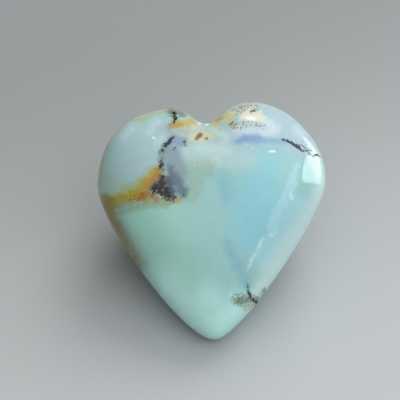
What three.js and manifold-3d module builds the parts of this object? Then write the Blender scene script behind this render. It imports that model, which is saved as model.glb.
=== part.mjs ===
// A polished heart of blue Andean opal, one solid stone, lying on the flat that is ground on its back.
// Millimetres, +Z up. The stone leans back: its pointed end is close to the ground at the front (-Y),
// its two lobes are raised at the rear (+Y). The ground plane is z = 0.
import * as THREE from 'three';
import { mergeVertices } from 'three/addons/utils/BufferGeometryUtils.js';
import Module from 'manifold-3d';

// Driving dimensions
const LEAN = THREE.MathUtils.degToRad(33);   // angle between the heart's own plane and the ground
const TIP_CLEARANCE = 1.15;                  // height of the girdle above the ground at the pointed end
const FRONT_RISE = 5.9;                      // dome height in front of the girdle
const BACK_RISE = 11.0;                      // dome height behind the girdle, before the flat is ground
const CENTRE = [0.1, 17.2];                  // middle of both domes in the heart's plane (x, v)
const FULLNESS = 0.78;                       // below 1: flatter face and rounder shoulder
const FRONT_ROUND = 0.92;                    // exponent of the front profile
const BACK_ROUND = 0.86;                     // exponent of the back profile
const GRID = 27;                             // facets along each side of the six patches
const RIM_HOLD = 2.4;                        // how close to the girdle its own outline is kept

// Outline of the girdle in the heart's plane: point, heading in degrees, and handle lengths before and
// after it, clockwise from the pointed end.
const OUTLINE = [
  { at: [0.4, 0.0], heading: 183.7, before: 1.12, after: 1.93 },       // pointed end
  { at: [-4.72, 3.44], heading: 136.5, before: 0.55, after: 3.73 },    // left side, low
  { at: [-15.07, 20.42], heading: 87.8, before: 4.2, after: 7.95 },    // left lobe, widest
  { at: [-5.91, 30.46], heading: 7.6, before: 3.68, after: 2.79 },     // left lobe, top
  { at: [-0.53, 28.4], heading: 7.4, before: 1.79, after: 1.3 },       // cleft
  { at: [5.38, 31.33], heading: -0.8, before: 3.71, after: 4.65 },     // right lobe, top
  { at: [15.0, 20.66], heading: -93.5, before: 5.43, after: 4.25 },    // right lobe, widest
  { at: [4.09, 2.72], heading: -134.3, before: 3.84, after: 2.07 },    // right side, low
];
const CLEFT_INDEX = 4;

// The rounder outline that the domes' level lines tend to nearer the middle of each face: the cleft has
// died out and the pointed end is blunt.
const INNER_OUTLINE = [
  { at: [0.3, 1.5], heading: 180, before: 3.9, after: 3.9 },
  { at: [-7.1, 5.2], heading: 140, before: 2.4, after: 4.2 },
  { at: [-14.8, 19.2], heading: 90, before: 5.5, after: 5.0 },
  { at: [-6.8, 29.6], heading: 17, before: 4.0, after: 2.6 },
  { at: [-0.3, 30.6], heading: 2.5, before: 2.4, after: 2.4 },
  { at: [6.2, 30.1], heading: -14, before: 2.6, after: 4.2 },
  { at: [14.8, 19.4], heading: -91, before: 5.5, after: 5.0 },
  { at: [7.0, 5.2], heading: -138, before: 4.4, after: 2.4 },
];

// A soft bevel left from hand grinding along the right shoulder: its height at the girdle where it starts
// and where it ends, its slope towards the middle, the stretch of the outline that it follows (pointed
// end 0, cleft 0.5, pointed end 1), how softly it ends, and the softness of its inner ridge.
const BEVEL = { foot: [1.72, 1.25], slope: 0.8, from: 0.6, to: 0.915, ends: 0.035, soft: 0.16 };

// Slight waviness of a hand-polished face: amplitude, wave numbers along x and v, phase.
const WAVES = [[0.10, 0.34, 0.21, 0.6], [0.08, -0.27, 0.38, 2.1], [0.05, 0.61, -0.44, 4.0]];

// Open pits and the rough recess of the matrix in the lower right rim: a point close to the surface in
// the heart's frame (x, v, w), half width, half height and depth.
const DENTS = [
  [-1.73, 26.23, 4.46, 0.42, 0.34, 0.30],    // brown pits beside the cleft
  [-0.79, 26.10, 4.46, 0.22, 0.20, 0.18],
  [5.21, 29.70, 3.00, 0.38, 0.18, 0.22],     // dark pits on the right lobe
  [2.45, 27.91, 4.00, 0.26, 0.20, 0.20],
  [2.70, 27.33, 4.36, 0.20, 0.22, 0.18],
  [6.60, 5.75, 0.20, 0.70, 0.88, 0.80],      // chip that breaks the outline
  [5.95, 5.15, 1.60, 0.60, 0.55, 0.36],      // recess beside it
  [5.10, 5.30, 2.30, 0.50, 0.42, 0.26],
  [4.75, 5.90, 3.05, 0.24, 0.42, 0.16],
  [6.30, 5.20, -1.10, 0.75, 0.60, 0.40],
  [-9.10, 8.30, -1.20, 0.50, 0.40, 0.24],    // nick in the lower left rim
];
// Matrix grains standing a little proud of the recess: the same point, radius and height.
const GRAINS = [
  [5.72, 4.72, 0.60, 0.44, 0.14],
  [5.30, 4.75, 1.75, 0.34, 0.10],
  [4.30, 5.15, 3.15, 0.30, 0.07],
  [5.95, 4.65, -0.80, 0.42, 0.15],
];

const manifold = await Module();
manifold.setup();

// Sampled outline, with a running measure that gives tight bends more points than long sides.
const SAMPLES = 200;
const BEND_WEIGHT = 1.4;

function outlineCurve(corners) {
  const path = new THREE.CurvePath();
  corners.forEach((a, i) => {
    const b = corners[(i + 1) % corners.length];
    const ha = THREE.MathUtils.degToRad(a.heading);
    const hb = THREE.MathUtils.degToRad(b.heading);
    path.add(new THREE.CubicBezierCurve(
      new THREE.Vector2(...a.at),
      new THREE.Vector2(a.at[0] + a.after * Math.cos(ha), a.at[1] + a.after * Math.sin(ha)),
      new THREE.Vector2(b.at[0] - b.before * Math.cos(hb), b.at[1] - b.before * Math.sin(hb)),
      new THREE.Vector2(...b.at)));
  });
  return path;
}

function sampleOutline(path) {
  const points = [];
  let cleft = 0;
  path.curves.forEach((curve, i) => {
    if (i === CLEFT_INDEX) cleft = points.length;
    for (let k = 0; k < SAMPLES; k += 1) points.push(curve.getPoint(k / SAMPLES));
  });
  points.push(points[0].clone());
  const measure = [0];
  for (let k = 1; k < points.length; k += 1) {
    const step = points[k].distanceTo(points[k - 1]);
    const a = points[k].clone().sub(points[k - 1]);
    const b = points[Math.min(k + 1, points.length - 1)].clone().sub(points[k]);
    const bend = k + 1 < points.length ? Math.abs(Math.atan2(a.cross(b), a.dot(b))) : 0;
    measure.push(measure[k - 1] + step + BEND_WEIGHT * bend);
  }
  return { points, measure, cleft };
}

const girdle = sampleOutline(outlineCurve(OUTLINE));
const inner = sampleOutline(outlineCurve(INNER_OUTLINE));

// Outline point for a turn from the pointed end (0) over the left lobe to the cleft (0.5) and back (1).
function outlinePoint({ points, measure, cleft }, turn) {
  const last = measure.length - 1;
  const wanted = turn <= 0.5
    ? THREE.MathUtils.lerp(0, measure[cleft], turn / 0.5)
    : THREE.MathUtils.lerp(measure[cleft], measure[last], (turn - 0.5) / 0.5);
  let low = 0;
  let high = last;
  while (high - low > 1) {
    const mid = (low + high) >> 1;
    if (measure[mid] <= wanted) low = mid; else high = mid;
  }
  const t = (wanted - measure[low]) / Math.max(measure[high] - measure[low], 1e-9);
  return points[low].clone().lerp(points[high], t);
}

function bevelStrength(turn) {
  return THREE.MathUtils.smoothstep(turn, BEVEL.from - BEVEL.ends, BEVEL.from + BEVEL.ends)
    * (1 - THREE.MathUtils.smoothstep(turn, BEVEL.to - BEVEL.ends, BEVEL.to + BEVEL.ends));
}

// A direction from the middle of the stone becomes a point of its surface in the heart's frame.
function surfacePoint(direction) {
  const flat = Math.hypot(direction.x, direction.y);
  const angle = Math.atan2(-direction.x, -direction.y);
  const turn = (angle / (2 * Math.PI) + 1) % 1;
  const reach = Math.pow(flat, FULLNESS);
  const rim = outlinePoint(inner, turn).lerp(outlinePoint(girdle, turn), Math.pow(reach, RIM_HOLD));
  const x = CENTRE[0] + reach * (rim.x - CENTRE[0]);
  const v = CENTRE[1] + reach * (rim.y - CENTRE[1]);
  const front = direction.z >= 0;
  const rise = front ? FRONT_RISE : BACK_RISE;
  const round = front ? FRONT_ROUND : BACK_ROUND;
  const height = Math.sign(direction.z) * rise * Math.pow(Math.abs(direction.z), round);
  const point = new THREE.Vector3(x, v, height);
  for (const [size, kx, kv, phase] of WAVES) {
    point.z += size * Math.pow(Math.abs(direction.z), 0.8) * Math.sin(kx * x + kv * v + phase);
  }
  // The bevel takes the dome down to a straight slope that rises from just above the girdle.
  if (front) {
    const inward = (1 - reach) * Math.hypot(rim.x - CENTRE[0], rim.y - CENTRE[1]);
    const along = THREE.MathUtils.smoothstep(turn, BEVEL.from, BEVEL.to);
    const foot = THREE.MathUtils.lerp(BEVEL.foot[0], BEVEL.foot[1], along);
    const proud = point.z - (foot + BEVEL.slope * inward);
    point.z -= bevelStrength(turn) * 0.5 * (proud + Math.hypot(proud, BEVEL.soft));
  }
  return point;
}

function toWorld(point) {
  const { x, y: v, z: w } = point;
  return new THREE.Vector3(
    x,
    v * Math.cos(LEAN) - w * Math.sin(LEAN),
    v * Math.sin(LEAN) + w * Math.cos(LEAN) + TIP_CLEARANCE);
}

function solidFrom(geometry) {
  geometry.deleteAttribute('normal');
  geometry.deleteAttribute('uv');
  const merged = mergeVertices(geometry, 1e-5);
  return new manifold.Manifold(new manifold.Mesh({
    numProp: 3,
    vertProperties: new Float32Array(merged.attributes.position.array),
    triVerts: new Uint32Array(merged.index.array),
  }));
}

function stoneBody() {
  const geometry = new THREE.BoxGeometry(2, 2, 2, GRID, GRID, GRID);
  const position = geometry.attributes.position;
  const p = new THREE.Vector3();
  for (let i = 0; i < position.count; i += 1) {
    p.fromBufferAttribute(position, i);
    p.set(Math.tan(p.x * Math.PI / 4), Math.tan(p.y * Math.PI / 4), Math.tan(p.z * Math.PI / 4));
    const placed = toWorld(surfacePoint(p.normalize()));
    position.setXYZ(i, placed.x, placed.y, placed.z);
  }
  return solidFrom(geometry);
}

function directionAt(polar, azimuth) {
  return new THREE.Vector3(
    Math.sin(polar) * Math.cos(azimuth), Math.sin(polar) * Math.sin(azimuth), Math.cos(polar));
}

// Surface point closest to a wanted place, with its outward normal and the direction along the rim.
function surfaceFrame(wanted) {
  let best = { polar: 1, azimuth: 0, miss: Infinity };
  let step = 0.12;
  const look = (polar, azimuth) => {
    const miss = surfacePoint(directionAt(polar, azimuth)).distanceTo(wanted);
    if (miss < best.miss) best = { polar, azimuth, miss };
  };
  for (let polar = 0.06; polar < Math.PI; polar += step) {
    for (let azimuth = 0; azimuth < 2 * Math.PI; azimuth += step) look(polar, azimuth);
  }
  for (let round = 0; round < 9; round += 1) {
    step /= 2;
    const { polar, azimuth } = best;
    for (let i = -2; i <= 2; i += 1) {
      for (let j = -2; j <= 2; j += 1) look(polar + i * step, azimuth + j * step);
    }
  }
  const { polar, azimuth } = best;
  const point = surfacePoint(directionAt(polar, azimuth));
  const down = surfacePoint(directionAt(polar + 0.01, azimuth)).sub(point);
  const across = surfacePoint(directionAt(polar, azimuth + 0.01)).sub(point);
  const normal = down.cross(across).normalize();
  const along = new THREE.Vector3(0, 0, 1).cross(normal).normalize();
  return { point, normal, along, up: normal.clone().cross(along) };
}

// A rough ball, flattened along the surface normal: an icosahedron with uneven, repeatable radii. Its
// middle stands the given height above the surface.
function roughBall(place, radii, lift, seed) {
  const frame = surfaceFrame(new THREE.Vector3(...place));
  const geometry = new THREE.IcosahedronGeometry(1, 1);
  const position = geometry.attributes.position;
  const p = new THREE.Vector3();
  for (let i = 0; i < position.count; i += 1) {
    p.fromBufferAttribute(position, i);
    const bump = 1 + 0.12 * Math.sin(3.1 * p.x + seed) * Math.cos(2.7 * p.y - seed);
    const placed = frame.point.clone()
      .addScaledVector(frame.along, p.x * bump * radii[0])
      .addScaledVector(frame.up, p.y * bump * radii[1])
      .addScaledVector(frame.normal, p.z * bump * radii[2] + lift);
    position.setXYZ(i, ...toWorld(placed).toArray());
  }
  return solidFrom(geometry);
}

// The flat on the back is the ground plane itself: everything below z = 0 is ground away.
function grinder() {
  const geometry = new THREE.BoxGeometry(60, 80, 20);
  geometry.translate(0, 15, -10);
  return solidFrom(geometry);
}

let stone = stoneBody();
DENTS.forEach(([x, v, w, wide, high, depth], i) => {
  const radius = 1.6 * depth;
  stone = stone.subtract(roughBall([x, v, w], [1.08 * wide, 1.08 * high, radius], radius - depth, i * 1.3));
});
GRAINS.forEach(([x, v, w, radius, height], i) => {
  stone = stone.add(roughBall([x, v, w], [radius, radius, radius], height - radius, i * 1.7 + 0.4));
});
stone = stone.subtract(grinder());

// Centred over the middle of its own bounding box.
const mesh = stone.getMesh();
const box = new THREE.Box3();
for (let i = 0; i < mesh.vertProperties.length; i += 3) {
  box.expandByPoint(new THREE.Vector3().fromArray(mesh.vertProperties, i));
}
const middle = box.getCenter(new THREE.Vector3());
const heart = new THREE.BufferGeometry();
heart.setAttribute('position', new THREE.BufferAttribute(new Float32Array(mesh.vertProperties), 3));
heart.setIndex(new THREE.BufferAttribute(new Uint32Array(mesh.triVerts), 1));
heart.translate(-middle.x, -middle.y, -box.min.z);
heart.computeVertexNormals();

const opal = new THREE.MeshStandardMaterial({ color: 0x8fc4cc, roughness: 0.14, metalness: 0 });
const andeanOpalHeart = new THREE.Mesh(heart, opal);
andeanOpalHeart.name = 'andean_opal_heart';

const part = new THREE.Group();
part.add(andeanOpalHeart);

export default part;
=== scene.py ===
# %% [markdown]
# # A polished heart of Andean opal
# Common opal from the Andes is a milky, slightly see-through stone. Light goes a little way in, is
# scattered and comes out again, so it never looks like painted plaster. This one is ground to a plump
# heart and polished. The lesson makes its fine surface, then its colour in layers, then its gloss.

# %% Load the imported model
import math

import bpy
import numpy as np
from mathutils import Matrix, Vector


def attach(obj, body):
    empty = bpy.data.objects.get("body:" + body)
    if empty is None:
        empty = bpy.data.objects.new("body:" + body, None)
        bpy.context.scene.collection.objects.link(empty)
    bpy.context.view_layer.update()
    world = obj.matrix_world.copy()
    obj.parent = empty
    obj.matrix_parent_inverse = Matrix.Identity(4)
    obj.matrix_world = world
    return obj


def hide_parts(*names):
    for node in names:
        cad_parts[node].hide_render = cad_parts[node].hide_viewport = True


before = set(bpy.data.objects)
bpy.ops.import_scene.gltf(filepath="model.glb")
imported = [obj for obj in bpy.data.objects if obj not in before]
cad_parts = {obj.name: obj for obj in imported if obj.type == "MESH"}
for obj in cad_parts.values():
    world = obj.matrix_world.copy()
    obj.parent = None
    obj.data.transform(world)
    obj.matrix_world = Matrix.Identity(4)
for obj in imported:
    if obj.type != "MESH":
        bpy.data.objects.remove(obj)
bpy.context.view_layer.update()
bpy.ops.object.select_all(action="DESELECT")
MM = 0.001

# %% [markdown]
# ## Two sets of directions
# The stone leans back on a flat of its back, so its own plane isn't level. Everything that belongs to
# the heart, such as a stain or a pit, is easier to place in the heart's own plane: x to the right, v from
# the pointed end to the cleft, and w out of the face. A small helper goes from the model's directions to
# the heart's.

# %% The heart's own plane
LEAN = math.radians(33)
# The pointed end's height above the ground, and where the model's middle lies from it, in mm.
TIP_CLEARANCE = 1.15
MIDDLE_X, MIDDLE_Y = -0.031, 13.789


def to_heart(points):
    """Points of the model, in metres, in the heart's own directions, in millimetres."""
    x = points[:, 0] / MM + MIDDLE_X
    y = points[:, 1] / MM + MIDDLE_Y
    z = points[:, 2] / MM - TIP_CLEARANCE
    v = y * math.cos(LEAN) + z * math.sin(LEAN)
    w = -y * math.sin(LEAN) + z * math.cos(LEAN)
    return x, v, w


# %% [markdown]
# ## The fine surface
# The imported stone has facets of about 0.75 mm, which a gloss would show as a disco ball. A hand-polished
# face is smooth and yet never quite even. Subdividing would pinch at the cut pits, so a merged copy is
# remeshed in small even quads and then relaxed. Pits and the rough matrix are mostly kept out of that.

# %% Copy the stone
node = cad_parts["andean_opal_heart"]
heart = node.copy()
heart.data = node.data.copy()
heart.name = heart.data.name = "opal_heart_polished"
heart.parent = None
heart.animation_data_clear()
bpy.context.scene.collection.objects.link(heart)
heart.data.materials.clear()
bpy.context.view_layer.objects.active = heart
heart.select_set(True)
bpy.ops.object.mode_set(mode="EDIT")
bpy.ops.mesh.select_all(action="SELECT")
bpy.ops.mesh.remove_doubles(threshold=0.001 * MM)
bpy.ops.object.mode_set(mode="OBJECT")
print("merged copy:", len(heart.data.vertices), "points")

# %% Remesh in even quads
GRAIN_OF_MESH = 0.19 * MM


def apply_modifier(kind, **settings):
    """Adds a modifier to the stone, sets it and applies it."""
    modifier = heart.modifiers.new(kind.title(), kind)
    for key, value in settings.items():
        setattr(modifier, key, value)
    bpy.ops.object.modifier_apply(modifier=modifier.name)


apply_modifier("REMESH", mode="VOXEL", voxel_size=GRAIN_OF_MESH, use_smooth_shade=True)
print("remeshed:", len(heart.data.polygons), "quads")

# %% Relax the polished skin
# Places that stay rough: (x, v, w, radius) in the heart's directions.
ROUGH_PLACES = [
    (-1.73, 26.23, 4.46, 0.55), (-0.79, 26.10, 4.46, 0.32), (5.21, 29.70, 3.00, 0.45),
    (2.45, 27.91, 4.00, 0.36), (2.70, 27.33, 4.36, 0.34), (6.60, 5.75, 0.20, 1.1),
    (5.95, 5.15, 1.60, 0.7), (5.10, 5.30, 2.30, 0.6), (4.75, 5.90, 3.05, 0.45),
    (6.30, 5.20, -1.10, 0.9), (4.30, 5.15, 3.15, 0.4), (5.72, 4.72, 0.60, 0.6),
]


def positions():
    """The points of the surface, one row each, in metres."""
    flat = np.empty(len(heart.data.vertices) * 3)
    heart.data.vertices.foreach_get("co", flat)
    return flat.reshape(-1, 3)


BLEND = 0.5
LEVELS = 10
LEAST_RELAXED = 0.12
RELAX_STEPS = 34

x, v, w = to_heart(positions())
rough = np.zeros(len(x))
for px, pv, pw, radius in ROUGH_PLACES:
    away = np.sqrt((x - px) ** 2 + (v - pv) ** 2 + (w - pw) ** 2)
    rough = np.maximum(rough, np.clip((radius + BLEND - away) / BLEND, 0, 1))
skin = heart.vertex_groups.new(name="polished_skin")
for level in range(LEVELS + 1):
    members = np.nonzero(np.round((1 - rough) * LEVELS).astype(int) == level)[0]
    skin.add(members.tolist(), max(level / LEVELS, LEAST_RELAXED), "REPLACE")
apply_modifier("SMOOTH", factor=0.5, iterations=RELAX_STEPS, vertex_group="polished_skin")

# The flat that the stone rests on stays level with the ground.
settled = positions()
settled[:, 2] = np.maximum(settled[:, 2], 0)
heart.data.vertices.foreach_set("co", settled.ravel())
heart.data.update()
print("rough points kept:", int((rough > 0.5).sum()))

# %% [markdown]
# ## Where each colour lies
# Most colours aren't painted on. They are bodies inside the stone that the polish cuts through: a sheet of
# iron stain, a seam with moss-like branches of black oxide, milky clouds. A few layers are painted light:
# painted shade along the lower-left rim and in the chip at the lower right, a painted reflection band down
# the right shoulder, and a painted dull reflection along the left lobe's rim. Each is given as a chain of
# round beads in the heart's plane, carried through the depth of the stone at a slant, and the surface
# learns how far each of its points is from it. The material then turns distances into soft or crisp
# edges. An image could do this for the face alone; distances work on the back and sides as well.

# %% Distance to a chain of beads
def bead_distance(px, pv, beads):
    """Distance in mm from each point to a chain of beads (x, v, radius), less the radius there."""
    best = np.full(len(px), 1e3)
    if len(beads) == 1:
        beads = beads * 2
    for (ax, av, ar), (bx, bv, br) in zip(beads, beads[1:]):
        run_x, run_v = bx - ax, bv - av
        length = max(run_x ** 2 + run_v ** 2, 1e-9)
        along = np.clip(((px - ax) * run_x + (pv - av) * run_v) / length, 0, 1)
        away = np.hypot(px - ax - along * run_x, pv - av - along * run_v)
        best = np.minimum(best, away - (ar + along * (br - ar)))
    return best


def store(name, values):
    """Keeps one number for each point of the surface, for the material to read."""
    attribute = heart.data.attributes.new(name, "FLOAT", "POINT")
    attribute.data.foreach_set("value", values.astype(np.float32))


# %% The layers, from the deepest to the top
# Each layer: colour (0 to 255), strength, edge (where it is full, where it ends, in mm), raggedness
# (which noise, how far it moves the edge in mm), reach (front, back or through) and its bead chains.
LAYERS = {
    "upper_milk": ((166, 192, 199), 0.85, (-1, 2.5), ("cloud", 1), "through", [
        [(-9.23, 24.35, 1.84), (-4.07, 25.6, 2.1), (0.43, 25.61, 1.58), (6.25, 26.96, 2.1),
         (11.46, 24.47, 0.79)]]),
    "lower_green": ((166, 212, 200), 0.92, (-0.5, 4.5), ("cloud", 1.2), "front", [
        [(-9.19, 15.92, 2.23), (-7.25, 12.7, 2.37), (-3.42, 6.97, 1.31)]]),
    "grey_lobe": ((170, 197, 203), 0.9, (-0.5, 2.6), ("cloud", 1), "front", [
        [(-10.52, 23.06, 2.1), (-9.91, 25.73, 1.58)]]),
    "blue_middle": ((146, 202, 214), 0.95, (-1, 3.4), ("cloud", 1), "front", [
        [(6.44, 21.65, 1.31), (5.91, 17.77, 2.37), (4.88, 13.95, 1.31)]]),
    "pale_tip": ((196, 238, 234), 0.95, (-1, 4.2), ("cloud", 0.8), "through", [
        [(-5.61, 6.62, 0.53), (-2.78, 3.29, 0.92), (0.3, 1.88, 1.31), (2.87, 3.54, 0.79)],
        [(-0.99, 4.55, 1.05)]]),
    "bevel_blue": ((176, 217, 226), 0.75, (-0.3, 1.8), ("cloud", 0.5), "front", [
        [(11.4, 17.29, 0.53), (9.84, 14.33, 1.05), (7.25, 10.47, 1.05)]]),
    "pale_rim": ((202, 223, 224), 0.82, (-0.4, 1.4), ("cloud", 0.6), "through", [
        [(11.56, 27.27, 0.26), (13.37, 24.63, 0.39), (14.41, 20.08, 0.53), (13.07, 16.79, 0.66),
         (10.96, 13.39, 0.66), (8.61, 10.02, 0.66), (6.52, 7.04, 0.53), (4.71, 4.08, 0.39)]]),
    "rim_grey": ((180, 190, 190), 0.8, (-0.3, 0.9), ("cloud", 0.4), "front", [
        [(3.75, 30.77, 0.2), (5.06, 30.9, 0.2), (6.63, 30.6, 0.26), (9.65, 29.46, 0.39),
         (11.99, 27.33, 0.33), (13.67, 24.82, 0.2)]]),
    # Painted reflection: a dull grey-beige line along the left lobe's rim, where the polish mirrors the
    # dim side of the room.
    "left_rim_reflection": ((176, 178, 164), 0.75, (-0.2, 0.6), ("cloud", 0.3), "front", [
        [(-14.53, 20.46, 0.13), (-14.59, 22.77, 0.13), (-13.67, 25.25, 0.13), (-12.23, 27.21, 0.13),
         (-10.43, 28.85, 0.13)]]),
    "milk_band": ((180, 206, 208), 0.85, (-0.6, 2), ("cloud", 0.8), "front", [
        [(-3.04, 23.87, 0.79), (1.07, 23.46, 1.18), (4.91, 22.94, 0.66)]]),
    "milk_wisp": ((196, 216, 218), 0.5, (-0.1, 0.7), ("wisp", 0.5), "front", [
        [(-2.78, 22.43, 0.39), (0.42, 22.81, 0.39)],
        [(-1.5, 24.8, 0.39), (1.84, 24.25, 0.39)]]),
    "cleft_cream": ((172, 188, 176), 0.75, (-0.4, 1.6), ("cloud", 0.5), "through", [
        [(-2.79, 26.83, 0.66), (-0.98, 26.73, 0.79), (0.57, 27.29, 0.53)]]),
    "sky_lobe": ((170, 192, 202), 0.92, (-0.5, 2), ("cloud", 0.7), "through", [
        [(6.54, 28.37, 1.18), (9.68, 27.4, 1.31), (12.32, 25.92, 0.79)]]),
    "sky_white": ((194, 212, 222), 0.55, (-0.2, 0.7), ("wisp", 0.5), "front", [
        [(11.02, 27.21, 0.39), (11.8, 26.43, 0.26)],
        [(6.54, 28.09, 0.26), (7.56, 27.29, 0.39)],
        [(4.43, 26.8, 0.26), (7.28, 26.45, 0.26)]]),
    "green_glow": ((150, 180, 162), 0.65, (-0.5, 0.9), ("wisp", 0.5), "front", [
        [(-2.78, 21.91, 0.92), (-0.73, 21.9, 1.05)],
        [(-2.26, 20.08, 1.05), (-2.77, 18.27, 0.79)]]),
    "green_left": ((172, 192, 176), 0.65, (-0.3, 1.4), ("cloud", 0.6), "through", [
        [(-14.59, 22.77, 0.26), (-13.96, 20, 0.79), (-12.06, 19.21, 0.79)]]),
    "lobe_lavender": ((160, 180, 194), 0.7, (-0.2, 0.7), ("wisp", 0.4), "front", [
        [(-6.68, 27.84, 0.66), (-5.89, 27.4, 0.39)]]),
    "olive_crest": ((176, 182, 150), 0.8, (-0.2, 0.8), ("wisp", 0.45), "front", [
        [(-9.34, 28.86, 0.39), (-8.06, 29.76, 0.39), (-6.21, 29.96, 0.39)]]),
    "cleft_left_cream": ((190, 192, 166), 0.8, (-0.2, 0.6), ("wisp", 0.4), "front", [
        [(-3.06, 28.73, 0.39), (-2.02, 28.22, 0.39), (-2.27, 27.57, 0.39)]]),
    "streak_high": ((126, 186, 202), 0.55, (-0.2, 1.5), ("wisp", 0.3), "front", [
        [(1.19, 20.85, 0.07), (1.44, 19.81, 0.18), (1.82, 18.27, 0.07)]]),
    "streak_low": ((122, 176, 194), 0.55, (-0.2, 1.2), ("wisp", 0.5), "front", [
        [(1.82, 12.53, 0.07), (2.71, 10.51, 0.21), (3.61, 8.74, 0.16), (4.53, 7.11, 0.11)]]),
    # The next two layers are painted light: a pale painted reflection down the right shoulder, where the
    # polish mirrors bright things to the right, and painted glints along it.
    "shoulder_reflection": ((176, 216, 226), 0.65, (-0.2, 0.25), ("ripple", 0.4), "front", [
        [(11.01, 22.56, 0.26), (10.32, 20.43, 0.66), (9.52, 18.34, 0.66), (8.35, 16.28, 0.66),
         (7.46, 14.49, 0.39)]]),
    "shoulder_glints": ((206, 232, 238), 0.7, (-0.1, 0.22), ("lace", 0.55), "front", [
        [(10.05, 18.61, 0.04), (10.44, 17.99, 0.07)],
        [(8.25, 13.76, 0.07), (7.46, 13.48, 0.09)],
        [(6.43, 12.95, 0.07), (6.05, 11.94, 0.14), (5.66, 11.17, 0.07), (5.02, 10.15, 0.13),
         (4.51, 9.01, 0.03)],
        [(2.47, 5.95, 0.04), (2.34, 5.31, 0.05)]]),
    "lobe_wisps": ((204, 220, 222), 0.5, (-0.4, 0.8), ("wisp", 0.9), "front", [
        [(-8.23, 26.91, 0.26), (-6.95, 28.29, 0.26)],
        [(-11.64, 26.11, 0.13), (-10.35, 27.59, 0.26)],
        [(0.32, 27.15, 0.2), (1.85, 25.99, 0.2)],
        [(6.55, 28.65, 0.26), (8.36, 27.46, 0.26)],
        [(-6.65, 25.9, 0.13), (-7.03, 24.83, 0.13)]]),
    "smoke": ((138, 158, 168), 0.88, (-0.3, 0.9), ("cloud", 0.5), "front", [
        [(-5.09, 24.01, 0.79), (-4.83, 22.43, 0.92), (-4.31, 21.26, 0.79)]]),
    "violet": ((136, 150, 174), 0.75, (-0.2, 0.45), ("wisp", 0.3), "front", [
        [(-4.97, 25.88, 0.53), (-3.94, 25.47, 0.59)]]),
    "moss_green": ((120, 146, 130), 0.6, (-0.1, 0.4), ("wisp", 0.35), "front", [
        [(-6.26, 24.81, 0.26), (-6.5, 23.23, 0.26), (-6.62, 21.66, 0.26)],
        [(-5.38, 27.81, 0.2), (-5.5, 27.11, 0.13)]]),
    "crest_gold": ((182, 166, 100), 0.85, (-0.25, 0.45), ("wisp", 0.5), "front", [
        [(-4.99, 28.09, 0.39), (-3.57, 27.95, 0.5), (-2.66, 28.14, 0.39)]]),
    "crest_orange": ((176, 138, 56), 0.6, (-0.2, 0.45), ("wisp", 0.5), "front", [
        [(-4.99, 27.53, 0.2), (-4.08, 27.8, 0.26)]]),
    "blush": ((176, 172, 156), 0.7, (-0.1, 0.4), ("wisp", 0.3), "front", [
        [(-5.11, 26.83, 0.2), (-3.3, 26.83, 0.26)]]),
    "grey_cap": ((118, 126, 112), 0.8, (-0.2, 0.6), ("wisp", 0.5), "front", [
        [(-5.41, 29.59, 0.33), (-4.5, 29.77, 0.39), (-3.58, 29.34, 0.2)]]),
    "cream": ((212, 213, 200), 0.92, (-0.2, 0.6), ("wisp", 0.6), "front", [
        [(2.92, 29.21, 0.66), (4.09, 29.48, 0.92), (5.27, 29.49, 0.92), (6.03, 28.78, 0.53)]]),
    "khaki": ((196, 190, 140), 0.85, (-0.2, 0.7), ("wisp", 0.5), "front", [
        [(0.33, 28.24, 0.26), (1.11, 28.93, 0.53), (2.14, 28.95, 0.53)]]),
    "khaki_brown": ((140, 128, 92), 0.6, (-0.05, 0.3), ("wisp", 0.35), "front", [
        [(0.59, 28.53, 0.07), (1.24, 28.74, 0.07)],
        [(2.68, 29.84, 0.05), (3.73, 30.42, 0.07)],
        [(2.25, 27.78, 0.07), (3.15, 27.35, 0.08)]]),
    "cream_grey": ((168, 176, 166), 0.7, (-0.1, 0.35), ("lace", 0.7), "front", [
        [(2.9, 28.19, 0.26), (3.45, 29.79, 0.33), (4.51, 30.39, 0.26)],
        [(5.8, 29.94, 0.26)],
        [(3.15, 27.35, 0.2), (4.71, 27.76, 0.2)]]),
    "white_core": ((234, 232, 220), 0.8, (-0.1, 0.3), ("wisp", 0.4), "front", [
        [(4.47, 28.75, 0.18), (5.24, 28.62, 0.21)]]),
    "frost": ((196, 208, 214), 0.65, (-0.1, 0.5), ("lace", 1), "front", [
        [(3.15, 27.07, 0.39), (5.47, 27.08, 0.53), (7.82, 26.88, 0.46)]]),
    "blue_seam": ((130, 156, 196), 0.85, (-0.2, 0.55), ("wisp", 0.3), "front", [
        [(3.13, 25.44, 0.2), (4.29, 25.85, 0.33), (5.84, 25.87, 0.37)]]),
    "blue_tail": ((138, 172, 200), 0.8, (-0.2, 0.5), ("wisp", 0.3), "front", [
        [(5.84, 25.73, 0.26), (7.53, 25.64, 0.26), (9.36, 25.57, 0.21)]]),
    "stain_fringe": ((172, 176, 120), 0.75, (-0.2, 1), ("wisp", 0.6), "front", [
        [(-7.14, 21.67, 0.26), (-8.42, 20.39, 0.53), (-9.96, 19.13, 0.66), (-12.06, 18.19, 0.53),
         (-13.69, 18.17, 0.53)]]),
    "stain_olive": ((172, 158, 70), 0.93, (-0.2, 0.7), ("wisp", 0.6), "front", [
        [(-7.01, 21.4, 0.33), (-7.9, 20.38, 0.53), (-9.19, 18.98, 0.59), (-10.74, 18.13, 0.53),
         (-12.6, 17.83, 0.39)],
        [(-9.18, 18.34, 0.53), (-6.61, 17.92, 0.2)]]),
    "stain_gold": ((188, 144, 50), 0.9, (-0.2, 0.5), ("wisp", 0.5), "front", [
        [(-6.75, 21.92, 0.2), (-7.26, 21.02, 0.46), (-8.16, 19.87, 0.39)],
        [(-8.41, 18.58, 0.39), (-9.7, 17.97, 0.2)],
        [(-5.33, 17.78, 0.2), (-4.31, 17.77, 0.16)]]),
    "stain_rust": ((172, 110, 28), 0.9, (-0.1, 0.4), ("wisp", 0.4), "front", [
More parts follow.
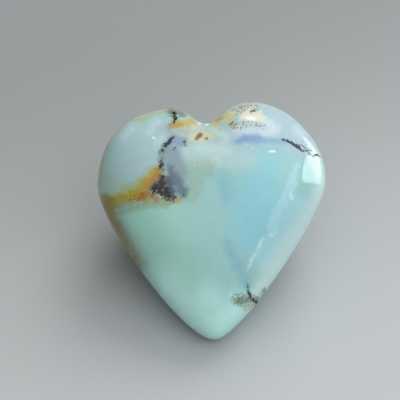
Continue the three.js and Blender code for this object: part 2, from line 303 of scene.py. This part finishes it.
        [(-8.67, 18.59, 0.26), (-8.8, 18.21, 0.26)],
        [(-7.13, 20.89, 0.13), (-7.77, 19.99, 0.11)]]),
    "rosy_halo": ((164, 134, 100), 0.85, (-0.2, 0.5), ("wisp", 0.5), "front", [
        [(-6.87, 20.63, 0.26), (-7.64, 19.86, 0.33), (-8.02, 18.83, 0.39), (-7.12, 18.05, 0.26)]]),
    "lower_blush": ((150, 158, 136), 0.6, (-0.1, 0.9), ("wisp", 0.4), "front", [
        [(-11.54, 16.89, 0.39), (-8.54, 17.43, 0.26), (-5.84, 17.4, 0.2)]]),
    "rim_shade": ((126, 142, 120), 0.65, (-0.5, 2.2), ("cloud", 0.5), "through", [
        [(-13.92, 16.62, 0.66), (-12.87, 14.53, 0.92), (-11.27, 12.02, 0.66), (-9.84, 9.82, 0.39)]]),
    "stain_rim": ((140, 122, 66), 0.88, (-0.7, 1.1), ("wisp", 0.5), "through", [
        [(-13.85, 17.69, 0.39), (-13.06, 15.74, 0.46), (-12.02, 13.79, 0.39), (-10.71, 11.59, 0.26),
         (-9.54, 9.78, 0.13)]]),
    "rim_gold": ((158, 134, 48), 0.6, (-0.2, 0.7), ("wisp", 0.4), "front", [
        [(-13.83, 18.57, 0.2), (-13.42, 17.64, 0.26), (-12.89, 16.59, 0.13)]]),
    "dark_smoke": ((58, 68, 82), 0.9, (-0.3, 0.6), ("wisp", 0.4), "front", [
        [(-5.46, 20.49, 0.33), (-5.46, 19.19, 0.59), (-5.07, 18.42, 0.39)]]),
    "blue_smoke": ((94, 114, 130), 0.9, (-0.3, 0.6), ("wisp", 0.4), "front", [
        [(-5.34, 22.04, 0.2), (-5.21, 21.26, 0.26), (-4.44, 20.09, 0.53), (-3.8, 19.05, 0.66)]]),
    "matrix": ((160, 184, 170), 0.85, (-0.2, 0.5), ("lace", 0.6), "front", [
        [(3.12, 5.07, 0.46), (4.42, 5.08, 0.72), (5.92, 4.87, 0.53)],
        [(6.64, 5.82, 0.26)]]),
    "matrix_dark": ((100, 114, 106), 0.5, (-0.1, 0.2), ("lace", 0.6), "front", [
        [(3.38, 5.07, 0.33), (4.55, 5.21, 0.33), (5.79, 4.74, 0.26)]]),
    "notch_shade": ((122, 130, 124), 0.8, (-0.1, 0.4), ("lace", 0.4), "through", [
        [(6.81, 6.42, 0.16), (6.89, 6.2, 0.21)]]),
    "matrix_pale": ((176, 204, 184), 0.85, (-0.1, 0.3), ("wisp", 0.3), "front", [
        [(4.44, 4.2, 0.39), (5.24, 4.6, 0.26)]]),
    "pit_halo": ((206, 200, 168), 0.7, (-0.1, 0.5), ("wisp", 0.3), "front", [
        [(-2.53, 26.01, 0.26), (-1.5, 26.18, 0.53), (-0.47, 26.03, 0.39)]]),
    "pit_brown": ((138, 112, 78), 0.9, (-0.1, 0.14), ("grain", 0.16), "front", [
        [(-2.01, 25.88, 0.24), (-1.5, 26.45, 0.29)],
        [(-0.72, 25.89, 0.21)],
        [(2.51, 27.92, 0.2)],
        [(2.76, 27.21, 0.17)]]),
    "back_stain": ((176, 172, 130), 0.65, (-0.6, 2.0), ("wisp", 1.2), "back", [
        [(-11.0, 20.0, 0.8), (-6.0, 22.5, 0.7), (-1.0, 23.0, 0.3)], [(5.0, 12.0, 0.5)]]),
    "back_milk": ((186, 208, 210), 0.8, (-0.5, 2.5), ("cloud", 1.2), "back", [
        [(6.0, 25.0, 1.5), (1.0, 20.0, 1.5), (-5.0, 14.0, 1.0)]]),
    "back_deep": ((120, 178, 194), 0.7, (-0.5, 3.0), ("cloud", 1.4), "back", [
        [(9.0, 19.0, 1.2), (5.0, 9.0, 1.0)], [(-9.0, 26.0, 1.0)]]),
}
print(len(LAYERS), "layers of colour")

# %% Store the distances
# A body of colour runs through the stone at a slant, so its trace drifts as the surface falls back.
SLANT_X, SLANT_V = 0.22, -0.12
FRONT_ENDS, BACK_STARTS, FADE = -0.8, 0.6, 1.1

x, v, w = to_heart(positions())
behind = np.minimum(w - 1.0, 0)
slant_x, slant_v = x - SLANT_X * behind, v - SLANT_V * behind


def reach_penalty(reach):
    """Extra distance for a body of colour that doesn't go all the way through."""
    if reach == "front":
        return FADE * np.maximum(FRONT_ENDS - w, 0)
    if reach == "back":
        return FADE * np.maximum(w - BACK_STARTS, 0)
    return 0 * w


def chain_field(chains, reach):
    """Distance in mm from each point of the surface to the nearest of some chains."""
    nearest = np.min([bead_distance(slant_x, slant_v, beads) for beads in chains], axis=0)
    return nearest + reach_penalty(reach)


for name, (_, _, _, _, reach, chains) in LAYERS.items():
    store(name, chain_field(chains, reach))
print("stored for each of", len(x), "points:", len(LAYERS), "distances")

# %% [markdown]
# ## Moss branches and the dark seam
# The black marks are manganese oxide that grew as tiny branches. Close up they are grains, densest along
# a line. They are kept apart from the soft layers because their edge is crisp and broken into specks.
# There is the branch down the left lobe, the clot where it ends, the seam at the right shoulder, dust
# that lies loose in the milk, a few painted glints where tiny pits in the polish catch the light, and two
# short branches on the back.

# %% Store the dark marks
BRANCHES = [
    [(-5.02, 29.59, 0.16), (-4.74, 28.67, 0.24), (-4.99, 28.09, 0.11)],
    [(-5.1, 26.01, 0.16), (-5.61, 25.34, 0.29), (-6, 24.95, 0.26)],
    [(-6.38, 24.28, 0.17)],
    [(-6.5, 22.97, 0.08), (-6.5, 22.44, 0.24), (-6.62, 22.05, 0.11)],
    [(-6.24, 21.66, 0.14)],
    [(-6.49, 20.75, 0.2)],
    [(-7.51, 19.34, 0.16)],
    [(-7.26, 19.98, 0.13)],
    [(-3.43, 25.07, 0.12), (-3.56, 25.47, 0.08)],
    [(-4.84, 24.54, 0.11)],
    [(-3.54, 18.41, 0.13)],
    [(4.53, 6.99, 0.07), (4.67, 6.23, 0.12), (4.94, 5.48, 0.16)],
    [(5.14, 29.64, 0.14), (5.54, 29.78, 0.12)],
    [(5.22, 5.23, 0.13), (5.92, 4.87, 0.14)],
]
CLUSTER = [
    [(-6.36, 20.88, 0.2), (-6.36, 20.1, 0.46), (-6.87, 19.46, 0.66), (-6.23, 18.94, 0.66),
     (-5.59, 18.29, 0.39)],
    [(-5.33, 18.16, 0.26), (-4.94, 17.9, 0.11)],
    [(-7.38, 19.47, 0.33), (-7.51, 18.83, 0.2)],
]
SEAM = [
    [(8.97, 25.83, 0.07), (9.63, 25.72, 0.18), (10.41, 25.36, 0.22), (11.2, 24.86, 0.28),
     (11.59, 24.48, 0.16), (12.27, 24.53, 0.11), (13.07, 23.78, 0.09), (13.49, 24.1, 0.11),
     (14.06, 23.9, 0.13)],
    [(11.48, 25.29, 0.05), (12.28, 24.81, 0.07), (12.96, 24.59, 0.04)],
]
SPECKLED = [
    [(2.52, 28.06, 0.2), (3.41, 27.48, 0.26), (4.45, 27.76, 0.39), (5.74, 27.64, 0.39),
     (6.78, 27.53, 0.26)],
    [(2.93, 29.36, 0.26), (4.24, 30.08, 0.39), (5.3, 30.55, 0.53)],
    [(3.11, 5.19, 0.66), (4.42, 5.21, 0.79), (5.92, 4.87, 0.53)],
    [(-5.41, 29.59, 0.66), (-4.37, 29.44, 0.53)],
    [(-6.64, 24.29, 0.26), (-6.62, 21.4, 0.33)],
    [(-9.18, 18.21, 0.39), (-10.22, 17.98, 0.39)],
]
# Painted highlights: the glints where tiny pits in the polish catch the light, as pale dots.
PAINTED_GLINTS = [
    [(-9.07, 22.09, 0.07)],
    [(-7.69, 26.06, 0.12), (-7.3, 25.91, 0.08)],
    [(-1.76, 28.08, 0.14), (-1.5, 28.12, 0.11)],
    [(-0.71, 27.99, 0.13), (-0.45, 27.98, 0.09)],
    [(5.18, 24.52, 0.08)],
    [(7.37, 24.16, 0.09), (8.02, 24.18, 0.13)],
    [(-2.27, 22.43, 0.09)],
    [(-8.26, 28.19, 0.07)],
]
BACK_BRANCHES = [
    [(-4.0, 24.5, 0.1), (-2.5, 22.0, 0.3), (-3.5, 19.5, 0.12)],
    [(8.5, 15.0, 0.12), (7.4, 13.2, 0.25), (7.9, 11.8, 0.08)],
]
marks = np.minimum(chain_field(BRANCHES, "front"), chain_field(BACK_BRANCHES, "back"))
store("branches", marks)
store("cluster", chain_field(CLUSTER, "front"))
store("dark_seam", chain_field(SEAM, "through"))
store("speckled", chain_field(SPECKLED, "front"))
store("painted_glints", chain_field(PAINTED_GLINTS, "front"))
store("roughness_of_break", rough)
print("dark marks within 0.3 mm:", int((marks < 0.3).sum()), "points")

# %% [markdown]
# ## The material
# Three things make the look: the layered colour, the light that goes under the skin, and a wet-looking
# polish over everything. The colour is built from the stored distances. Noise in the stone's own
# coordinates moves each edge a little, so no bead or chain can be seen in it.

# %% Small node helpers
opal = bpy.data.materials.new("milky_opal_polished")
opal.use_nodes = True
tree = opal.node_tree
tree.nodes.clear()


def put(kind, **settings):
    """Adds a node to the tree that is being built, which is whatever tree stands for at that time."""
    made = tree.nodes.new(kind)
    for key, value in settings.items():
        setattr(made, key, value)
    return made


def join(source, target):
    tree.links.new(source, target)


def math_node(operation, first, second=None, clamp=False):
    made = put("ShaderNodeMath", operation=operation, use_clamp=clamp)
    for socket, value in zip(made.inputs, (first, second)):
        if isinstance(value, (int, float)):
            socket.default_value = value
        elif value is not None:
            join(value, socket)
    return made.outputs[0]


def stored(name):
    return put("ShaderNodeAttribute", attribute_name=name).outputs["Fac"]


def fade(value, full, none):
    """1 at full and below, 0 at none and above, smooth between."""
    made = put("ShaderNodeMapRange", interpolation_type="SMOOTHSTEP")
    join(value, made.inputs["Value"])
    made.inputs["From Min"].default_value = full
    made.inputs["From Max"].default_value = none
    made.inputs["To Min"].default_value = 1
    made.inputs["To Max"].default_value = 0
    return made.outputs["Result"]


def linear(rgb):
    """Screen colour from 0 to 255 as the linear colour that the shader wants."""
    parts = [c / 255 for c in rgb]
    return [c / 12.92 if c < 0.04045 else ((c + 0.055) / 1.055) ** 2.4 for c in parts] + [1]


def paint(under, rgb, amount):
    """Lays a colour over what is under it, by an amount from 0 to 1."""
    mix = put("ShaderNodeMix", data_type="RGBA")
    join(amount, mix.inputs[0])
    join(under, mix.inputs[6])
    mix.inputs[7].default_value = linear(rgb)
    return mix.outputs[2]


# %% Noise in the stone
place = put("ShaderNodeTexCoord").outputs["Object"]


def noise(per_mm, detail, rough_share=0.5, warp=0.0):
    """Noise from 0 to 1 in the coordinates that place gives, with so many waves to a millimetre."""
    made = put("ShaderNodeTexNoise", noise_dimensions="3D")
    join(place, made.inputs["Vector"])
    made.inputs["Scale"].default_value = per_mm / MM
    made.inputs["Detail"].default_value = detail
    made.inputs["Roughness"].default_value = rough_share
    made.inputs["Distortion"].default_value = warp
    return made.outputs["Fac"]


def signed(value):
    """Noise from 0 to 1 as a push from about -1 to 1."""
    return math_node("MULTIPLY", math_node("SUBTRACT", value, 0.5), 3.0)


RAGGED = {
    "cloud": signed(noise(0.16, 3, 0.45, 0.4)),
    "wisp": signed(noise(0.9, 6, 0.62, 0.9)),
    "ripple": signed(noise(1.3, 2, 0.4, 0.5)),
    "lace": signed(noise(1.9, 5, 0.75, 1.2)),
    "grain": signed(noise(4.5, 4, 0.6)),
}
print(len(RAGGED), "kinds of noise")

# %% Lay the colours over each other
BODY = (146, 196, 196)
BODY_PALE, PALE_SHARE = (176, 208, 206), 0.3
body = put("ShaderNodeRGB")
body.outputs[0].default_value = linear(BODY)
colour = body.outputs[0]
pale = fade(RAGGED["wisp"], 0.1, 1.1)
colour = paint(colour, BODY_PALE, math_node("MULTIPLY", pale, PALE_SHARE))
for name, (rgb, strength, (full, none), (kind, push), _, _) in LAYERS.items():
    edge = math_node("ADD", stored(name), math_node("MULTIPLY", RAGGED[kind], push))
    colour = paint(colour, rgb, math_node("MULTIPLY", fade(edge, full, none), strength))
print("nodes for the colours:", len(tree.nodes))

# %% [markdown]
# ## Grains of black oxide
# A clot of dendrite is never one black blot: it is hundreds of grains with stained stone between them. A
# Voronoi pattern gives such grains, because each of its cells can hold one dot, and a share of the cells
# can be left empty. A brown veil lies under the grains, and a few rosy ones show where iron came in.

# %% Helpers for grains
def specks(per_mm, radius, share):
    """Small dots: a share of the cells of a Voronoi pattern, each with a dot of that radius in mm."""
    cells = put("ShaderNodeTexVoronoi", feature="F1")
    join(place, cells.inputs["Vector"])
    cells.inputs["Scale"].default_value = per_mm / MM
    size = radius * per_mm
    dot = fade(cells.outputs["Distance"], size * 0.75, size * 1.15)
    split = put("ShaderNodeSeparateColor")
    join(cells.outputs["Color"], split.inputs[0])
    chosen = math_node("LESS_THAN", split.outputs[0], share)
    return math_node("MULTIPLY", dot, chosen)


def crisp(name, push, full, none):
    """A mark with a hard edge that fine noise moves by about push, in mm."""
    wobble = math_node("ADD", math_node("MULTIPLY", RAGGED["grain"], push),
                       math_node("MULTIPLY", RAGGED["lace"], push))
    return fade(math_node("ADD", stored(name), wobble), full, none)


def times(*factors):
    product = factors[0]
    for factor in factors[1:]:
        product = math_node("MULTIPLY", product, factor)
    return product


# %% Lay the marks over the colours
halo = times(fade(stored("branches"), -0.1, 0.4), fade(RAGGED["wisp"], 0.9, -0.6), 0.5)
core = crisp("branches", 0.3, -0.08, 0.05)
near = times(fade(stored("branches"), 0.05, 0.35), specks(3.8, 0.1, 0.4))
veil_of_cluster = times(crisp("cluster", 0.4, -0.25, 0.3), 0.9)
grains = times(crisp("cluster", 0.5, 0.0, 0.12), specks(2.9, 0.23, 0.88))
fine_grains = times(fade(stored("cluster"), 0.1, 0.6), specks(4.6, 0.11, 0.6))
rosy = times(fade(stored("cluster"), 0.0, 0.4), specks(3.3, 0.13, 0.2))
seam = crisp("dark_seam", 0.28, -0.04, 0.04)
dust = times(fade(stored("speckled"), 0.0, 0.35), specks(5.2, 0.085, 0.5))
# Painted highlight: pale dots for the glints off tiny pits in the polish.
painted_glint = crisp("painted_glints", 0.03, -0.06, 0.08)
MARKS = (
    (halo, (84, 74, 76), 1.0), (near, (44, 36, 32), 0.95), (dust, (84, 78, 62), 0.9),
    (veil_of_cluster, (52, 36, 38), 1.0), (seam, (16, 24, 20), 0.97), (core, (14, 10, 11), 0.98),
    (fine_grains, (40, 28, 30), 0.85), (grains, (12, 8, 9), 0.97), (rosy, (150, 104, 88), 0.75),
    (painted_glint, (236, 246, 250), 0.85))
for amount, rgb, strength in MARKS:
    colour = paint(colour, rgb, times(amount, strength))
print(len(MARKS), "kinds of mark over the colours")

# %% [markdown]
# ## Depth and polish
# Milky opal takes light in for a millimetre or two and gives it back softened, so its edges glow a little
# and its shadows are never hard. That is subsurface scattering, with a depth in true millimetres. Over it
# lies the polish: smooth with a trace of haze, and dull where the stone is broken or the seam comes out.

# %% Skin, depth and polish
POLISH, HAZE, BREAK = 0.075, 0.015, 0.4
SEAM_DULL = 0.6
BROAD_MOTTLE, FINE_MOTTLE = 0.045, 0.02
OPAL_IOR = 1.45
DEPTH_OF_RED_GREEN_BLUE = (0.8, 1.15, 1.3)
DEPTH = 1.5 * MM
RELIEF = 0.02 * MM

skin_shader = put("ShaderNodeBsdfPrincipled")
mottle = put("ShaderNodeHueSaturation")
join(colour, mottle.inputs["Color"])
shades = math_node("ADD", times(RAGGED["wisp"], BROAD_MOTTLE), times(RAGGED["lace"], FINE_MOTTLE))
join(math_node("ADD", shades, 1.0), mottle.inputs["Value"])
join(mottle.outputs[0], skin_shader.inputs["Base Color"])

broken = math_node("MAXIMUM", stored("roughness_of_break"), math_node("MULTIPLY", seam, SEAM_DULL))
haze = math_node("MULTIPLY", RAGGED["wisp"], HAZE)
join(math_node("ADD", math_node("ADD", haze, POLISH), math_node("MULTIPLY", broken, BREAK), clamp=True),
     skin_shader.inputs["Roughness"])
skin_shader.inputs["IOR"].default_value = OPAL_IOR
skin_shader.inputs["Subsurface Weight"].default_value = 1.0
skin_shader.inputs["Subsurface Radius"].default_value = DEPTH_OF_RED_GREEN_BLUE
skin_shader.inputs["Subsurface Scale"].default_value = DEPTH

relief = put("ShaderNodeBump")
relief.inputs["Strength"].default_value = 1.0
relief.inputs["Distance"].default_value = RELIEF
height = math_node("ADD", math_node("MULTIPLY", RAGGED["cloud"], 0.3),
                   math_node("MULTIPLY", math_node("MULTIPLY", RAGGED["grain"], broken), 2.0))
join(height, relief.inputs["Height"])
join(relief.outputs[0], skin_shader.inputs["Normal"])
out = put("ShaderNodeOutputMaterial")
join(skin_shader.outputs[0], out.inputs["Surface"])
heart.data.materials.append(opal)
print("opal material:", len(tree.nodes), "nodes")

# %% [markdown]
# ## Hand the stone over
# The polished stone rides on the part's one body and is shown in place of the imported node.

# %% Hand the stone over
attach(heart, "root")
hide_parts("andean_opal_heart")
print("shown in place of the packed node:", heart.name)

# %% [markdown]
# ## Floor
# The stone lies on a plain pale grey sheet with a fine tooth, with painted shade that makes it a little
# darker far from the viewer. Noise gives the tooth, in the colour and as a bump, so the soft shadow has
# something to fall on.

# %% Floor
SHEET_WIDTH, SHEET_MIDDLE = 2.4, 0.3
bpy.ops.mesh.primitive_plane_add(size=SHEET_WIDTH, location=(0, SHEET_MIDDLE, 0))
floor = bpy.context.object
floor.name = "pale_sheet"
sheet = bpy.data.materials.new("pale_grey_sheet")
sheet.use_nodes = True
tree = sheet.node_tree
ground = tree.nodes["Principled BSDF"]
place = put("ShaderNodeTexCoord").outputs["Object"]

# The sheet's colour carries painted shade: lightest near the viewer, darker far from it.
SHEET_NEAR, SHEET_FAR = 0.47, 0.26
NEAR_SIDE = (0.34, -0.94)
# How far along that way the painted shade begins and ends, in metres from the middle of the sheet.
DARK_UNTIL, PALE_FROM = 0.232, 0.318
TOOTH_SHADE, TOOTH_RELIEF = 0.11, 0.05 * MM
SHEET_TINT = (0.95, 1.0, 1.03)
SHEET_ROUGHNESS = 0.6
apart = put("ShaderNodeSeparateXYZ")
join(place, apart.inputs[0])
toward = math_node("ADD", math_node("MULTIPLY", apart.outputs[0], NEAR_SIDE[0]),
                   math_node("MULTIPLY", apart.outputs[1], NEAR_SIDE[1]))
tone = put("ShaderNodeMapRange", interpolation_type="SMOOTHSTEP")
join(toward, tone.inputs["Value"])
tone.inputs["From Min"].default_value = DARK_UNTIL
tone.inputs["From Max"].default_value = PALE_FROM
tone.inputs["To Min"].default_value = SHEET_FAR
tone.inputs["To Max"].default_value = SHEET_NEAR
tooth = noise(5.0, 3, 0.7)
grained = math_node("MULTIPLY", tone.outputs[0],
                    math_node("ADD", math_node("MULTIPLY", signed(tooth), TOOTH_SHADE), 1.0))
grey = put("ShaderNodeCombineColor")
for socket, share in zip(grey.inputs, SHEET_TINT):
    join(math_node("MULTIPLY", grained, share), socket)
join(grey.outputs[0], ground.inputs["Base Color"])
ground.inputs["Roughness"].default_value = SHEET_ROUGHNESS
grit = put("ShaderNodeBump")
grit.inputs["Strength"].default_value = 0.5
grit.inputs["Distance"].default_value = TOOTH_RELIEF
join(tooth, grit.inputs["Height"])
join(grit.outputs[0], ground.inputs["Normal"])
floor.data.materials.append(sheet)
print("sheet laid, tone from", SHEET_FAR, "to", SHEET_NEAR)

# %% [markdown]
# ## Lamps
# A gloss shows the shape of a lamp, and a shadow shows its direction, and here the two don't agree: the
# pale patch on the right shoulder is a low window, but the shadow comes from higher and further behind.
# So there are two lamps. One is only seen in the polish, and the other only lights.

# %% Lamps
STONE = Vector((0, 0, 10)) * MM


def panel(name, azimuth, elevation, distance, width, height, watts, rgb):
    """A rectangular lamp seen from the stone in that direction (degrees from +X, above the ground)."""
    bpy.ops.object.light_add(type="AREA")
    lamp = bpy.context.object
    lamp.name = name
    turn, rise = math.radians(azimuth), math.radians(elevation)
    toward = Vector((math.cos(turn) * math.cos(rise), math.sin(turn) * math.cos(rise), math.sin(rise)))
    lamp.location = STONE + toward * distance
    lamp.rotation_euler = toward.to_track_quat("Z", "Y").to_euler()
    lamp.data.shape = "RECTANGLE"
    lamp.data.size, lamp.data.size_y = width, height
    lamp.data.energy = watts
    lamp.data.color = rgb
    return lamp


window = panel("window", 17, 12.5, 0.6, 0.41, 0.27, 2.3, (0.94, 1.0, 1.0))
window.visible_diffuse = False
daylight = panel("daylight", 64, 42, 0.6, 0.36, 0.34, 2.3, (1.0, 0.99, 0.97))
daylight.visible_glossy = False
print("lamps:", window.name, daylight.name)

# %% [markdown]
# ## The room
# Lamps over the stone would draw their straight edges across its face. A sky that brightens smoothly
# towards two directions has no edges, and gives the soft sheen of a pale room. Away from the glows it is
# dim and a little warm, which the shadow takes up.

# %% The room
# Each glow: direction, how bright, and where it begins and is full (cosines).
GLOWS = [((0.24, 0.04, 0.97), 1.2, 0.45, 0.98), ((0.46, -0.58, 0.67), 0.80, 0.50, 0.98)]
ROOM_DIM = 0.075
ROOM_WARM = (1.0, 0.90, 0.74, 1)
GLOW_PALE = (249, 253, 255)

world = bpy.data.worlds.new("even_room")
world.use_nodes = True
tree = world.node_tree
facing = put("ShaderNodeTexCoord").outputs["Generated"]
brightness = ROOM_DIM
room_tint = put("ShaderNodeRGB").outputs[0]
room_tint.default_value = ROOM_WARM
for direction, strength, begins, full in GLOWS:
    along = put("ShaderNodeVectorMath", operation="DOT_PRODUCT")
    join(facing, along.inputs[0])
    along.inputs[1].default_value = direction
    glow = math_node("SUBTRACT", 1.0, fade(along.outputs["Value"], begins, full))
    brightness = math_node("ADD", math_node("MULTIPLY", glow, strength), brightness)
    room_tint = paint(room_tint, GLOW_PALE, glow)
background = tree.nodes["Background"]
join(room_tint, background.inputs["Color"])
join(brightness, background.inputs["Strength"])
bpy.context.scene.world = world
bpy.context.scene.view_settings.view_transform = "Standard"
print(len(GLOWS), "glows in the room")

# %% [markdown]
# ## Camera
# A small stone is photographed close, but a wide lens would swell its near side. A long lens from 200 mm
# away keeps its outline true: 52 degrees above the ground, with 7.61 pixels to the millimetre.

# %% Camera
ELEVATION = math.radians(52)
AWAY = 200 * MM
AIM = Vector((-1.53, 1.56, 11.17)) * MM
PIXELS_PER_MM, PIXELS = 7.61, 400
SENSOR = 36
to_camera = Vector((0, -math.cos(ELEVATION), math.sin(ELEVATION)))
bpy.ops.object.camera_add(location=AIM + to_camera * AWAY)
camera = bpy.context.object
camera.name = "photo_view"
camera.rotation_euler = to_camera.to_track_quat("Z", "Y").to_euler()
camera.data.sensor_width = SENSOR
camera.data.lens = SENSOR * PIXELS_PER_MM * AWAY / MM / PIXELS
camera.data.clip_start, camera.data.clip_end = 0.01, 10
bpy.context.scene.camera = camera
print("lens", round(camera.data.lens, 1), "mm")

# %% Finish
print("scene built")
